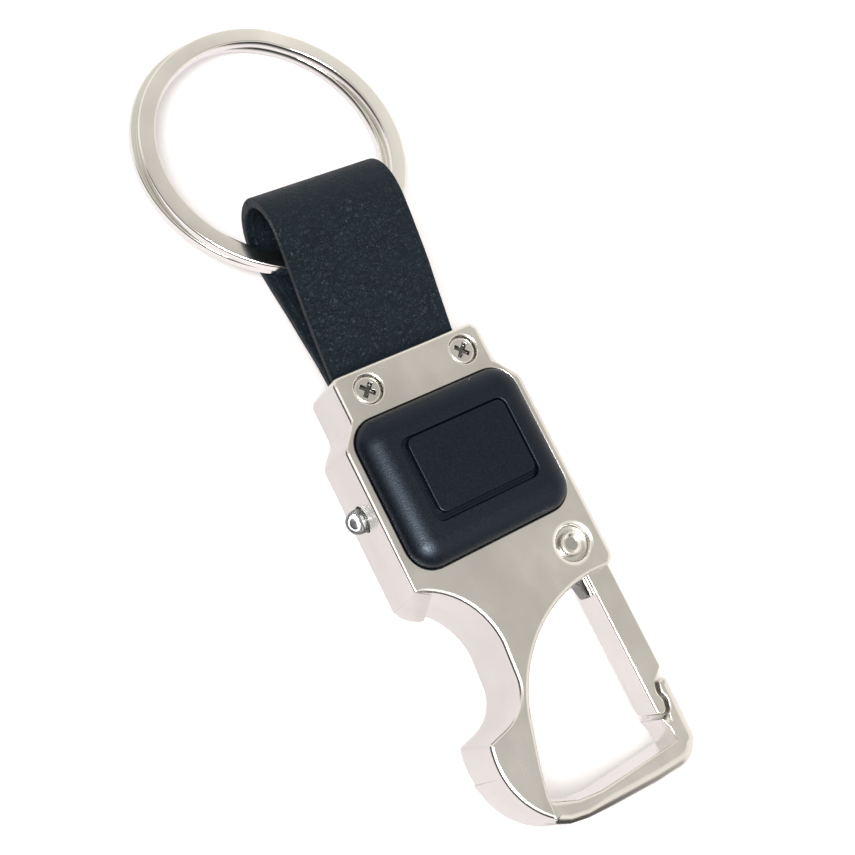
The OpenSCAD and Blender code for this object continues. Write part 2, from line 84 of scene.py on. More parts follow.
# Brightness of the studio, as (height, brightness) from straight down to straight up
OPEN_SIDE = ((0.0, 0.8), (0.03, 0.85), (0.07, 1.0), (0.72, 1.0), (0.85, 0.8), (0.94, 0.45), (1.0, 0.39))
DARK_SIDE = (
    *((0.0, 1.0), (0.13, 1.0), (0.2, 0.06), (0.69, 0.04)),
    *((0.76, 0.9), (0.87, 0.95), (0.95, 0.5), (1.0, 0.39)),
)


# Selecting and finishing


def clear_selection():
    """Selects nothing, in object mode."""
    if bpy.context.object and bpy.context.object.mode != "OBJECT":
        bpy.ops.object.mode_set(mode="OBJECT")
    bpy.ops.object.select_all(action="DESELECT")


def only(obj):
    """Makes this object the only selected one, in object mode."""
    clear_selection()
    obj.select_set(True)
    bpy.context.view_layer.objects.active = obj


def named(name):
    """Names the object that a primitive has just made."""
    obj = bpy.context.object
    obj.name = name
    obj.data.name = name
    return obj


def edit(obj):
    """Opens this object in edit mode, with nothing selected."""
    only(obj)
    bpy.ops.object.mode_set(mode="EDIT")
    bpy.ops.mesh.select_all(action="DESELECT")


def done():
    bpy.ops.object.mode_set(mode="OBJECT")


def pick(obj, kind, test):
    """Selects the vertices, edges or faces in edit mode that pass a test."""
    modes = {"verts": "VERT", "edges": "EDGE", "faces": "FACE"}
    bpy.ops.mesh.select_mode(type=modes[kind])
    bpy.ops.mesh.select_all(action="DESELECT")
    mesh = bmesh.from_edit_mesh(obj.data)
    found = [item for item in getattr(mesh, kind) if test(item)]
    if not found:
        raise RuntimeError(f"{obj.name} has no such {kind}")
    for item in found:
        item.select_set(True)
    mesh.select_flush_mode()
    bmesh.update_edit_mesh(obj.data)


def pick_all():
    bpy.ops.mesh.select_all(action="SELECT")


def face_outwards():
    """Turns all faces outwards, in edit mode."""
    pick_all()
    bpy.ops.mesh.normals_make_consistent(inside=False)


def make_whole(distance):
    """Merges points closer than a distance and makes flat faces whole again, in edit mode."""
    pick_all()
    bpy.ops.mesh.remove_doubles(threshold=distance)
    pick_all()
    bpy.ops.mesh.dissolve_limited(angle_limit=math.radians(1))


def extrude_up(rise):
    """Extrudes the selected faces upwards, in edit mode."""
    bpy.ops.mesh.extrude_region_move(TRANSFORM_OT_translate={"value": (0, 0, rise)})


def extrude_right(reach):
    """Extrudes the selected edges to the right, in edit mode."""
    bpy.ops.mesh.extrude_edges_move(TRANSFORM_OT_translate={"value": (reach, 0, 0)})


def settle(obj):
    """Moves the object's place into its mesh."""
    only(obj)
    bpy.ops.object.transform_apply(location=True, rotation=True, scale=True)
    return obj


def apply(obj, modifier):
    only(obj)
    bpy.ops.object.modifier_apply(modifier=modifier.name)


def middle(node):
    """The middle of a CAD node's box, in millimetres."""
    low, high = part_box(node)
    return (low + high) / 2 / MM


def flat_at(height, way):
    """A test for the flat faces at a height in millimetres that face up (1) or down (-1)."""

    def test(face):
        level = abs(face.calc_center_median().z - height * MM) < 0.01 * MM
        return level and face.normal.z * way > 0.99

    return test


def strand(spot, inside, steps):
    """The points from an inset face's corner straight out to the face's old rim, rim first."""
    points = [spot]
    rung = next(e for e in spot.link_edges if e.other_vert(spot) not in inside)
    while True:
        points.append(rung.other_vert(points[-1]))
        if len(points) > steps:
            return points[::-1]
        near = set(rung.link_faces)
        rung = next(e for e in points[-1].link_edges if not near & set(e.link_faces))


def ease_tight_curves(sides, rims, ways, sizes):
    """Makes the rounding smaller where a rim curves tightly outwards, so that its rings don't cross."""
    least_left, shrink, passes = 0.12, 0.85, 40

    def place_of(side):
        a, b = side.verts
        return [round(c / MM, 3) for c in rims[a] + rims[b]]

    # The order is that of the places, so that each run gives the same result
    ordered = sorted(sides, key=place_of)
    for _ in range(passes):
        for side in ordered:
            a, b = side.verts
            run = rims[b] - rims[a]
            left = run + ways[b] * sizes[b] - ways[a] * sizes[a]
            if left.dot(run) < least_left * run.length_squared:
                sizes[a] *= shrink
                sizes[b] *= shrink


def round_rim(obj, faces, radius, steps=4):
    """Rounds the rim of a flat face. radius(point, outward) is the rounding there, or zero.

    Tiny insets give the face a band of rings, which are then laid on a quarter circle."""
    tiny = 0.02 * MM
    edit(obj)
    pick(obj, "faces", faces)
    for _ in range(steps):
        bpy.ops.mesh.inset(thickness=tiny, use_even_offset=True)
    mesh = bmesh.from_edit_mesh(obj.data)
    flat = [f for f in mesh.faces if f.select]
    up = max(flat, key=lambda f: f.calc_area()).normal.copy()
    inside = {v for f in flat for v in f.verts}
    sides = {e for f in flat for e in f.edges if sum(g.select for g in e.link_faces) == 1}
    strands = {v: strand(v, inside, steps) for e in sides for v in e.verts}
    rims = {v: points[0].co.copy() for v, points in strands.items()}
    ways = {v: (points[1].co - points[0].co) / tiny for v, points in strands.items()}
    sizes = {}
    for v, points in strands.items():
        neighbours = [e.other_vert(points[0]).co for e in points[0].link_edges]
        rises = any((spot - rims[v]).dot(up) > tiny / 2 for spot in neighbours)
        sizes[v] = 0 if rises else radius(rims[v] / MM, -ways[v].normalized()) * MM
    ease_tight_curves(sides, rims, ways, sizes)
    for v, points in strands.items():
        for i, point in enumerate(points):
            turn = i / steps * math.pi / 2
            point.co = rims[v] + sizes[v] * (ways[v] * (1 - math.cos(turn)) - up * (1 - math.sin(turn)))
    bmesh.update_edit_mesh(obj.data)
    bpy.ops.mesh.delete(type="FACE")
    pick_all()
    bpy.ops.mesh.remove_doubles(threshold=SAME_POINT)
    pick(obj, "edges", lambda e: e.is_boundary)
    bpy.ops.mesh.fill(use_beauty=True)
    done()


def soften_corner(obj, x, y, width):
    """Rounds the short upright edge at a place in millimetres."""
    reach = 0.12
    edit(obj)
    pick(obj, "edges", lambda e: all(math.hypot(v.co.x / MM - x, v.co.y / MM - y) < reach for v in e.verts))
    bpy.ops.mesh.bevel(offset=width, segments=3, affect="EDGES", clamp_overlap=True)
    done()


def smooth(obj, flat=None):
    """Shades the piece smooth between its sharp edges. Faces that pass the test flat stay flat."""
    only(obj)
    bpy.ops.object.shade_smooth_by_angle(angle=math.radians(40))
    if flat:
        edit(obj)
        pick(obj, "faces", flat)
        bpy.ops.mesh.faces_shade_flat()
        done()
    weighted = obj.modifiers.new("face weights", "WEIGHTED_NORMAL")
    weighted.keep_sharp = True
    weighted.weight = 80
    apply(obj, weighted)


def round_edges(obj, width, segments=2, angle=30):
    """Rounds the edges that are sharper than an angle, and shades the piece smooth."""
    bevel = obj.modifiers.new("rounding", "BEVEL")
    bevel.width = width
    bevel.segments = segments
    bevel.limit_method = "ANGLE"
    bevel.angle_limit = math.radians(angle)
    bevel.use_clamp_overlap = True
    bevel.miter_outer = "MITER_ARC"
    apply(obj, bevel)
    smooth(obj)


def rounded_box(name, low, high, radius, segments=8):
    """A box between two corners in millimetres, with its upright edges rounded."""
    low, high = Vector(low) * MM, Vector(high) * MM
    clear_selection()
    bpy.ops.mesh.primitive_cube_add(size=1, location=(low + high) / 2, scale=high - low)
    obj = settle(named(name))
    edit(obj)
    pick(obj, "edges", lambda e: abs(e.verts[0].co.z - e.verts[1].co.z) > (high.z - low.z) / 2)
    bpy.ops.mesh.bevel(offset=radius * MM, segments=segments, affect="EDGES")
    done()
    return obj


def round_top(obj, width, segments):
    """Rounds the rim of a piece's top face by a width in millimetres."""
    edit(obj)
    pick(obj, "faces", lambda f: f.normal.z > 0.99)
    bpy.ops.mesh.region_to_loop()
    bpy.ops.mesh.bevel(offset=width * MM, segments=segments, affect="EDGES", profile=0.5)
    done()


def combine(obj, other, operation):
    """Adds another object to this one, or cuts it away, and removes the other."""
    change = obj.modifiers.new("change", "BOOLEAN")
    change.operation = operation
    change.solver = "EXACT"
    change.object = other
    apply(obj, change)
    bpy.data.objects.remove(other)


def cad_copy(node, name):
    """A merged copy of a CAD node's mesh, with its flat faces whole again."""
    clear_selection()
    obj = bpy.data.objects.new(name, NODES[node].data.copy())
    bpy.context.collection.objects.link(obj)
    obj.data.name = name
    obj.data.materials.clear()
    edit(obj)
    make_whole(2 * SAME_POINT)
    bpy.ops.mesh.customdata_custom_splitnormals_clear()
    done()
    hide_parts(node)
    return obj


def place(obj, body, material):
    """Gives the piece its material and the body that it moves with."""
    obj.data.materials.clear()
    obj.data.materials.append(material)
    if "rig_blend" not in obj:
        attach(obj, body)


# Materials


class Nodes:
    """A node tree whose nodes are added one by one."""

    def __init__(self, tree):
        self.tree = tree

    def link(self, a, b):
        self.tree.links.new(a, b)

    def add(self, kind, sockets=None, **choices):
        """Adds a node. Each of its sockets is given a number or colour, or is linked to an output."""
        node = self.tree.nodes.new(kind)
        for key, value in choices.items():
            setattr(node, key, value)
        for key, value in (sockets or {}).items():
            if hasattr(value, "is_linked"):
                self.link(value, node.inputs[key])
            else:
                node.inputs[key].default_value = value
        return node

    def ramp(self, fac, *stops):
        """A ramp of (place, value or colour) stops."""
        node = self.add("ShaderNodeValToRGB", {"Fac": fac})
        points = node.color_ramp.elements
        while len(points) < len(stops):
            points.new(0.5)
        for point, (at, value) in zip(points, stops):
            point.position = at
            point.color = (*value, 1) if hasattr(value, "__len__") else (value, value, value, 1)
        return node.outputs["Color"]

    def spread(self, value, low, high, start=0.0, end=1.0, curve="LINEAR"):
        """Maps the range from start to end onto the range from low to high."""
        sockets = {"Value": value, "From Min": start, "From Max": end, "To Min": low, "To Max": high}
        return self.add("ShaderNodeMapRange", sockets, interpolation_type=curve).outputs["Result"]

    def mixed(self, factor, a, b, kind="MIX"):
        """Mixes two colours."""
        sockets = {"Factor": factor, "A": a, "B": b}
        return self.add("ShaderNodeMix", sockets, data_type="RGBA", blend_type=kind).outputs["Result"]

    def maths(self, operation, a, b):
        return self.add("ShaderNodeMath", {0: a, 1: b}, operation=operation).outputs["Value"]

    def shares(self, a, share_a, b, share_b):
        """The sum of a share of one value and a share of another."""
        return self.maths("ADD", self.maths("MULTIPLY", a, share_a), self.maths("MULTIPLY", b, share_b))


class Shader(Nodes):
    """A material, with its patterns and the sockets that they drive."""

    def __init__(self, name, coordinates="Object"):
        self.material = bpy.data.materials.new(name)
        self.material.use_nodes = True
        super().__init__(self.material.node_tree)
        self.surface = self.tree.nodes["Principled BSDF"]
        self.source = self.add("ShaderNodeTexCoord").outputs[coordinates]

    def set(self, **values):
        """Sets the surface's own sockets, whose names have an underscore for each space."""
        for key, value in values.items():
            self.surface.inputs[key.replace("_", " ")].default_value = value

    def mapped(self, scale, turn=(0, 0, 0)):
        sockets = {"Vector": self.source, "Scale": scale, "Rotation": turn}
        return self.add("ShaderNodeMapping", sockets).outputs["Vector"]

    def noise(self, scale, detail, rough=0.55, vector=None, distortion=0.0):
        sockets = {"Vector": vector or self.source, "Scale": scale, "Detail": detail}
        sockets |= {"Roughness": rough, "Distortion": distortion}
        return self.add("ShaderNodeTexNoise", sockets).outputs["Fac"]

    def cells(self, scale, vector, feature="DISTANCE_TO_EDGE"):
        sockets = {"Vector": vector, "Scale": scale}
        return self.add("ShaderNodeTexVoronoi", sockets, feature=feature).outputs["Distance"]

    def colour(self, output):
        self.link(output, self.surface.inputs["Base Color"])

    def roughness(self, output):
        self.link(output, self.surface.inputs["Roughness"])

    def bump(self, height, distance, strength):
        sockets = {"Height": height, "Distance": distance, "Strength": strength}
        node = self.add("ShaderNodeBump", sockets)
        self.link(node.outputs["Normal"], self.surface.inputs["Normal"])


def tinted(colour, factor):
    return tuple(min(1.0, c * factor) for c in colour)


def plated_metal(name, colour, roughness, grain=2600, depth=0.000004, shaded_below=None):
    """Bright plating over a cast or drawn surface: soft clouds, a fine grain and a few rub marks.

    Below a given height, in millimetres, the colour is darkened to stand in for shade in recesses: painted
    shade."""
    s = Shader(name)
    s.set(Metallic=1.0)
    clouds = s.noise(scale=90, detail=3)
    tone = s.ramp(clouds, (0.3, tinted(colour, 0.92)), (0.7, tinted(colour, 1.05)))
    if shaded_below is not None:
        # Painted shade: below the given height the colour darkens to a fifth, standing in for shade in
        # recesses
        height = s.add("ShaderNodeSeparateXYZ", {"Vector": s.source}).outputs["Z"]
        deep_shade, bright = (shaded_below - 0.12) * MM, (shaded_below + 0.06) * MM
        tone = s.mixed(1.0, tone, s.spread(height, 0.2, 1.0, deep_shade, bright), "MULTIPLY")
    s.colour(tone)
    fine = s.noise(grain, detail=3, rough=0.6)
    rubbed = s.noise(scale=420, detail=5, vector=s.mapped(scale=(1, 0.25, 1), turn=(0, 0, 0.4)))
    marks = s.shares(clouds, 0.6, rubbed, 0.4)
    s.roughness(s.spread(marks, low=roughness * 0.88, high=roughness * 1.15, start=0.3, end=0.7))
    waves = s.noise(scale=180, detail=1)
    s.bump(s.shares(waves, 0.7, fine, 0.06), depth, strength=0.4)
    return s.material


def moulded_plastic(name, colour, roughness, depth=0.00003):
    """Plastic from a fine-blasted mould."""
    s = Shader(name)
    s.set(Specular_IOR_Level=0.34, Specular_Tint=(0.68, 0.82, 1.0, 1))
    clouds = s.noise(scale=150, detail=3)
    s.colour(s.ramp(clouds, (0.3, tinted(colour, 0.85)), (0.7, tinted(colour, 1.15))))
    dots = s.noise(scale=5200, detail=2, rough=0.5)
    s.roughness(s.spread(dots, low=roughness * 0.8, high=roughness * 1.25, start=0.3, end=0.7))
    s.bump(dots, depth, strength=0.8)
    return s.material


def leather(name, colour, width, length):
    """Smooth dyed leather, read along the strip in millimetres: pores, fine wrinkles and scuffs."""
    s = Shader(name, "UV")
    s.set(Specular_IOR_Level=0.32, Specular_Tint=(0.62, 0.82, 1.0, 1))
    flat = s.mapped(scale=(width / MM, length / MM, 1))
    stray = s.add("ShaderNodeTexNoise", {"Vector": flat, "Scale": 0.9}).outputs["Color"]
    bent = s.add("ShaderNodeVectorMath", {0: flat, 1: stray}, operation="ADD").outputs["Vector"]
    wrinkles = s.cells(1.3, bent)
    pores = s.cells(3.4, bent)
    clouds = s.noise(scale=0.35, detail=4, vector=flat)
    scratch = s.noise(scale=1.1, detail=6, rough=0.7, vector=bent, distortion=1.6)
    scuffs = s.ramp(scratch, (0.46, 0.0), (0.5, 1.0), (0.54, 0.0))
    light = s.maths("MULTIPLY", scuffs, s.spread(clouds, low=0.1, high=0.9, start=0.35, end=0.65))
    tones = (0.2, tinted(colour, 0.72)), (0.5, colour), (1.0, tinted(colour, 2.1))
    s.colour(s.ramp(s.shares(clouds, 0.7, light, 0.6), *tones))
    s.roughness(s.spread(clouds, low=0.42, high=0.62, start=0.3, end=0.7))
    folds = s.spread(wrinkles, low=0.0, high=1.0, end=0.12)
    dimples = s.spread(pores, low=0.0, high=1.0, end=0.25)
    grain = s.shares(folds, 0.7, dimples, 0.3)
    s.bump(s.maths("SUBTRACT", grain, s.maths("MULTIPLY", scuffs, 0.4)), 0.00012, strength=0.9)
    return s.material


def clear_lens(name):
    """Clear moulded resin with a faint haze."""
    s = Shader(name)
    s.set(Base_Color=(0.62, 0.64, 0.66, 1), Transmission_Weight=0.9, IOR=1.48)
    haze = s.noise(scale=900, detail=2)
    s.roughness(s.spread(haze, low=0.01, high=0.05, start=0.3, end=0.7))
    s.bump(haze, 0.000002, strength=0.3)
    return s.material


def circuit_green(name, colour):
    """Lacquered board with faint copper tracks under the lacquer."""
    s = Shader(name)
    tracks = s.cells(420, s.mapped(scale=(1, 1, 0.01)), "F1")
    s.colour(s.ramp(tracks, (0.25, tinted(colour, 1.5)), (0.35, colour), (1.0, tinted(colour, 0.8))))
    s.roughness(s.spread(tracks, low=0.3, high=0.45))
    s.bump(tracks, 0.00002, strength=0.4)
    return s.material


# Sizes and colours a user would change


class CaseSettings(bpy.types.PropertyGroup):
    edge: FloatProperty(
        name="Edge rounding",
        description="Rounding of the casting's edges",
        default=0.0004,
        unit="LENGTH",
    )
    soft_edge: FloatProperty(
        name="Soft rounding",
        description="Rounding of the hook's outer edges",
        default=0.0011,
        unit="LENGTH",
    )
    colour: FloatVectorProperty(
        name="Plating",
        description="Colour of the plated casting",
        default=(0.80, 0.775, 0.735),
        subtype="COLOR",
    )
    roughness: FloatProperty(
        name="Roughness",
        description="Roughness of the plated casting",
        default=0.26,
        min=0,
        max=1,
    )


class StrapSettings(bpy.types.PropertyGroup):
    width: FloatProperty(
        name="Width",
        description="Width of the strap",
        default=0.0172,
        unit="LENGTH",
    )
    thickness: FloatProperty(
        name="Thickness",
        description="Thickness of one leaf",
        default=0.00125,
        unit="LENGTH",
    )
    bow: FloatProperty(
        name="Bow",
        description="How far the right edge swells half way along",
        default=0.0004,
        unit="LENGTH",
    )
    colour: FloatVectorProperty(
        name="Leather",
        description="Colour of the leather",
        default=(0.004, 0.008, 0.013),
        subtype="COLOR",
    )


class RingSettings(bpy.types.PropertyGroup):
    bore: FloatProperty(
        name="Bore",
        description="Clear diameter inside the ring",
        default=0.03,
        unit="LENGTH",
    )
    wire_width: FloatProperty(
        name="Wire width",
        description="Width of the flat wire",
        default=0.0021,
        unit="LENGTH",
    )
    wire_thickness: FloatProperty(
        name="Wire thickness",
        description="Thickness of one turn",
        default=0.00135,
        unit="LENGTH",
    )
    parting: FloatProperty(
        name="Parting",
        description="How far the turns part near their ends",
        default=0.00035,
        unit="LENGTH",
    )
    colour: FloatVectorProperty(
        name="Plating",
        description="Colour of the ring",
        default=(0.86, 0.845, 0.81),
        subtype="COLOR",
    )


class TorchSettings(bpy.types.PropertyGroup):
    crown: FloatProperty(
        name="Crown",
        description="Width of the cover's round shoulder",
        default=0.0031,
        unit="LENGTH",
    )
    crown_rise: FloatProperty(
        name="Crown rise",
        description="Height of the cover's round shoulder",
        default=0.0023,
        unit="LENGTH",
    )
    button_edge: FloatProperty(
        name="Button edge",
        description="Rounding of the button's edges",
        default=0.0002,
        unit="LENGTH",
    )
    colour: FloatVectorProperty(
        name="Plastic",
        description="Colour of the black plastic",
        default=(0.003, 0.005, 0.01),
        subtype="COLOR",
    )


class StageSettings(bpy.types.PropertyGroup):
    floor: FloatVectorProperty(
        name="Floor",
        description="Colour of the floor",
        default=(0.9, 0.87, 0.865),
        subtype="COLOR",
    )
    sky: FloatProperty(
        name="Sky",
        description="Brightness of the surroundings in reflections",
        default=1.08,
    )
    fill: FloatProperty(
        name="Fill",
        description="Share of the surroundings that lights surfaces",
        default=0.37,
    )
    backlight: FloatProperty(
        name="Backlight",
        description="Glow of the floor sheet",
        default=0.45,
    )
    key: FloatProperty(
        name="Key light",
        description="Power of the large light by the camera",
        default=5.0,
        subtype="POWER",
    )
    side: FloatProperty(
        name="Softbox",
        description="Power of the soft light that shines in the plastic",
        default=14.0,
        subtype="POWER",
    )


SETTINGS = {
    "keychain_case": CaseSettings,
    "keychain_strap": StrapSettings,
    "keychain_ring": RingSettings,
    "keychain_torch": TorchSettings,
    "keychain_stage": StageSettings,
}


# Pieces


class KEYCHAIN_OT_case(bpy.types.Operator):
    """Adds the casting, with its edges rounded"""

    bl_idname = "keychain.case"
    bl_label = "Case"

    def front_roundings(self, edge, soft):
        """The rounding of the front's rim: crisp at the wells and the bay, soft at the pin and the hook."""
        pin, screws = middle("gate_pin"), middle("strap_screws")
        pin_r, well_r, screw_reach = 2.4, 2, 6.7
        bay_x, bay_y = 11.6, 9.8
        hook_x, hook_y, hook_r = 8.7, -34.1, 16
        hook_right, hook_top, side_x = 9, -17, 9.4

        def rounding(p, out):
            if math.hypot(p.x - pin.x, p.y - pin.y) < pin_r:
                return 0.6 * soft
            if abs(p.y - screws.y) < well_r and abs(abs(p.x - screws.x) - screw_reach) < well_r:
                return 0.35 * edge
            if abs(p.x) < bay_x and abs(p.y) < bay_y:
                return 0.5 * edge
            on_arc = abs(math.hypot(p.x - hook_x, p.y - hook_y) - hook_r) < 0.3
            if on_arc and p.x < hook_right and p.y < hook_top:
                return 0.5 * soft
            if out.x > 0.4 and p.x > side_x:
                return 0.55 * soft
            return edge

        return rounding

    def hook_roundings(self, edge, soft):
        """The rounding of the hook's bar and nose: crisp at the gate's lock, softest under the bar."""
        nose_x, lock_x, lock_y = 8, 11.2, -36.5
        bar_x, bar_top = -2, -39

        def rounding(p, out):
            if p.y > lock_y and p.x < lock_x or out.x < -0.5 and nose_x < p.x < lock_x:
                return 0.4 * edge
            if out.y > 0.3 and p.y < bar_top:
                return 0.5 * soft
            if out.y < -0.5 and p.x > bar_x:
                return 1.4 * soft
            return soft

        return rounding

    def round_lamp_hole(self, obj, edge):
        """Rounds the rim of the lamp's hole in the left wall."""
        lamp = middle("led_lens")
        wall_x, wall_reach, hole_r = -12, 6, 2.6

        def wall(f):
            spot = f.calc_center_median() / MM
            return f.normal.x < -0.999 and spot.x < wall_x and abs(spot.y) < wall_reach

        def rounding(p, out):
            return 0.35 * edge if math.hypot(p.y - lamp.y, p.z - lamp.z) < hole_r else 0

        round_rim(obj, wall, rounding)

    def execute(self, context):
        s = context.scene.keychain_case
        metal = plated_metal("satin nickel", tuple(s.colour), s.roughness)
        obj = cad_copy("case", "casting")
        edge, soft = s.edge / MM, s.soft_edge / MM
        back, hook_back, hook_front, front = 0, 2, 7.5, 9.5
        hook_rounding = self.hook_roundings(edge, soft)
        edit(obj)
        make_whole(0.06 * MM)
        done()
        for v in obj.data.vertices:
            for height in (back, hook_back, hook_front, front):
                if abs(v.co.z - height * MM) < 0.08 * MM:
                    v.co.z = height * MM
        # The opener's tip, the nose's inner corner and the corner where the gate leaves the right wall
        for x, y in ((-12.57, -29.3), (9.15, -37.2), (12.5, -12.38)):
            soften_corner(obj, x, y, 0.25 * MM)
        self.round_lamp_hole(obj, edge)
        round_rim(obj, flat_at(front, 1), self.front_roundings(edge, soft))
        round_rim(obj, flat_at(hook_front, 1), hook_rounding, 5)
        round_rim(obj, flat_at(hook_back, -1), hook_rounding, 5)
        round_rim(obj, flat_at(back, -1), lambda p, out: edge)
        smooth(obj, flat=lambda f: abs(f.normal.z) > 0.9998)
        place(obj, "case", metal)
        return {"FINISHED"}


class KEYCHAIN_OT_gate(bpy.types.Operator):
    """Adds the hook's gate and its spring"""

    bl_idname = "keychain.gate"
    bl_label = "Gate"

    def execute(self, context):
        s = context.scene.keychain_case
        metal = plated_metal("gate plating", tuple(s.colour), s.roughness * 0.95)
        gate = cad_copy("gate", "gate_arm")
        round_edges(gate, 0.65 * s.edge, segments=3)
        place(gate, "gate", metal)
        steel = plated_metal("spring steel", (0.24, 0.235, 0.23), 0.3, grain=4000)
        spring = cad_copy("gate_spring", "gate_leaf_spring")
        round_edges(spring, 0.04 * MM)
        place(spring, "case", steel)
        return {"FINISHED"}


class KEYCHAIN_OT_fasteners(bpy.types.Operator):
    """Adds the clamp's screws and the gate's riveted pin"""

    bl_idname = "keychain.fasteners"
    bl_label = "Screws and pin"

    def screw(self, low, high, head_r):
        """The left screw: a domed head with a tapered cross, on its shank."""
        head_t, dome, shank_r = 0.9, 0.35, 1.0
        blade, taper = Vector((2.4, 0.7, 1.2)) * MM, 0.75
        top = Vector((low.x + head_r * MM, (low.y + high.y) / 2, high.z))
        clear_selection()
        bpy.ops.mesh.primitive_cylinder_add(
            vertices=64,
            radius=head_r * MM,
            depth=head_t * MM,
            location=top - Vector((0, 0, head_t / 2 * MM)),
        )
        obj = settle(named("clamp_screw"))
        edit(obj)
        pick(obj, "faces", lambda f: f.normal.z > 0.9)
        bpy.ops.mesh.region_to_loop()
        bpy.ops.mesh.bevel(offset=dome * MM, segments=5, affect="EDGES")
        pick(obj, "faces", lambda f: f.normal.z < -0.9)
        bpy.ops.mesh.inset(thickness=(head_r - shank_r) * MM)
        extrude_up(-(high.z - low.z - head_t * MM))
        done()
        for turn in (45, 135):
            clear_selection()
            bpy.ops.mesh.primitive_cube_add(
                size=1, location=top, rotation=(0, 0, math.radians(turn)), scale=blade
            )
            cutter = settle(named("driver_blade"))
            edit(cutter)
            pick(cutter, "faces", lambda f: f.normal.z < -0.9)
            bpy.ops.transform.resize(value=(taper, taper, 1), center_override=top)
            done()
            combine(obj, cutter, "DIFFERENCE")
        round_edges(obj, 0.05 * MM, angle=40)
        return obj

    def screws(self):
        """Both screws, as one piece."""
        head_r = 1.7
        low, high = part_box("strap_screws")
        left = self.screw(low, high, head_r)
        only(left)
        bpy.ops.object.duplicate(linked=False)
        right = named("clamp_screw_right")
        right.location.x = high.x - low.x - 2 * head_r * MM
        settle(right)
        left.select_set(True)
        bpy.ops.object.join()
        return named("clamp_screws")

    def pin(self):
        """The hinge pin: a shank whose upper end is upset into a hollow head."""
        low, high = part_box("gate_pin")
        mid = (low + high) / 2
        shank_r, head_r, head_t = 1.0, (high.x - low.x) / 2 / MM, 0.8
        # Rings of the head, as (share of its radius, rise)
        rings = ((1, 0), (1, 0.45), (0.94, 0.25), (0.88, 0.1), (0.8, 0), (0.56, -0.35))
        clear_selection()
        bpy.ops.mesh.primitive_cylinder_add(
            vertices=64,
            radius=shank_r * MM,
            depth=high.z - low.z - head_t * MM,
            location=(mid.x, mid.y, mid.z - head_t / 2 * MM),
        )
        obj = settle(named("hinge_pin"))
        edit(obj)
        pick(obj, "faces", lambda f: f.normal.z > 0.9)
        radius = shank_r
        for share, rise in rings:
            extrude_up(rise * MM)
            grow = share * head_r / radius
            bpy.ops.transform.resize(value=(grow, grow, 1), center_override=mid)
            radius = share * head_r
        done()
        round_edges(obj, 0.05 * MM, angle=25)
        return obj

    def execute(self, context):
        # The crosses reach down below this height, and below it the plating's colour is darkened: painted
        # shade in the recesses
        cross_z = 8.85
        metal = plated_metal("screw plating", (0.84, 0.82, 0.79), 0.2, grain=5000, shaded_below=cross_z)
        screws = self.screws()
        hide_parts("strap_screws")
        place(screws, "case", metal)
        pin = self.pin()
        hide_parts("gate_pin")
        place(pin, "case", metal)
        return {"FINISHED"}


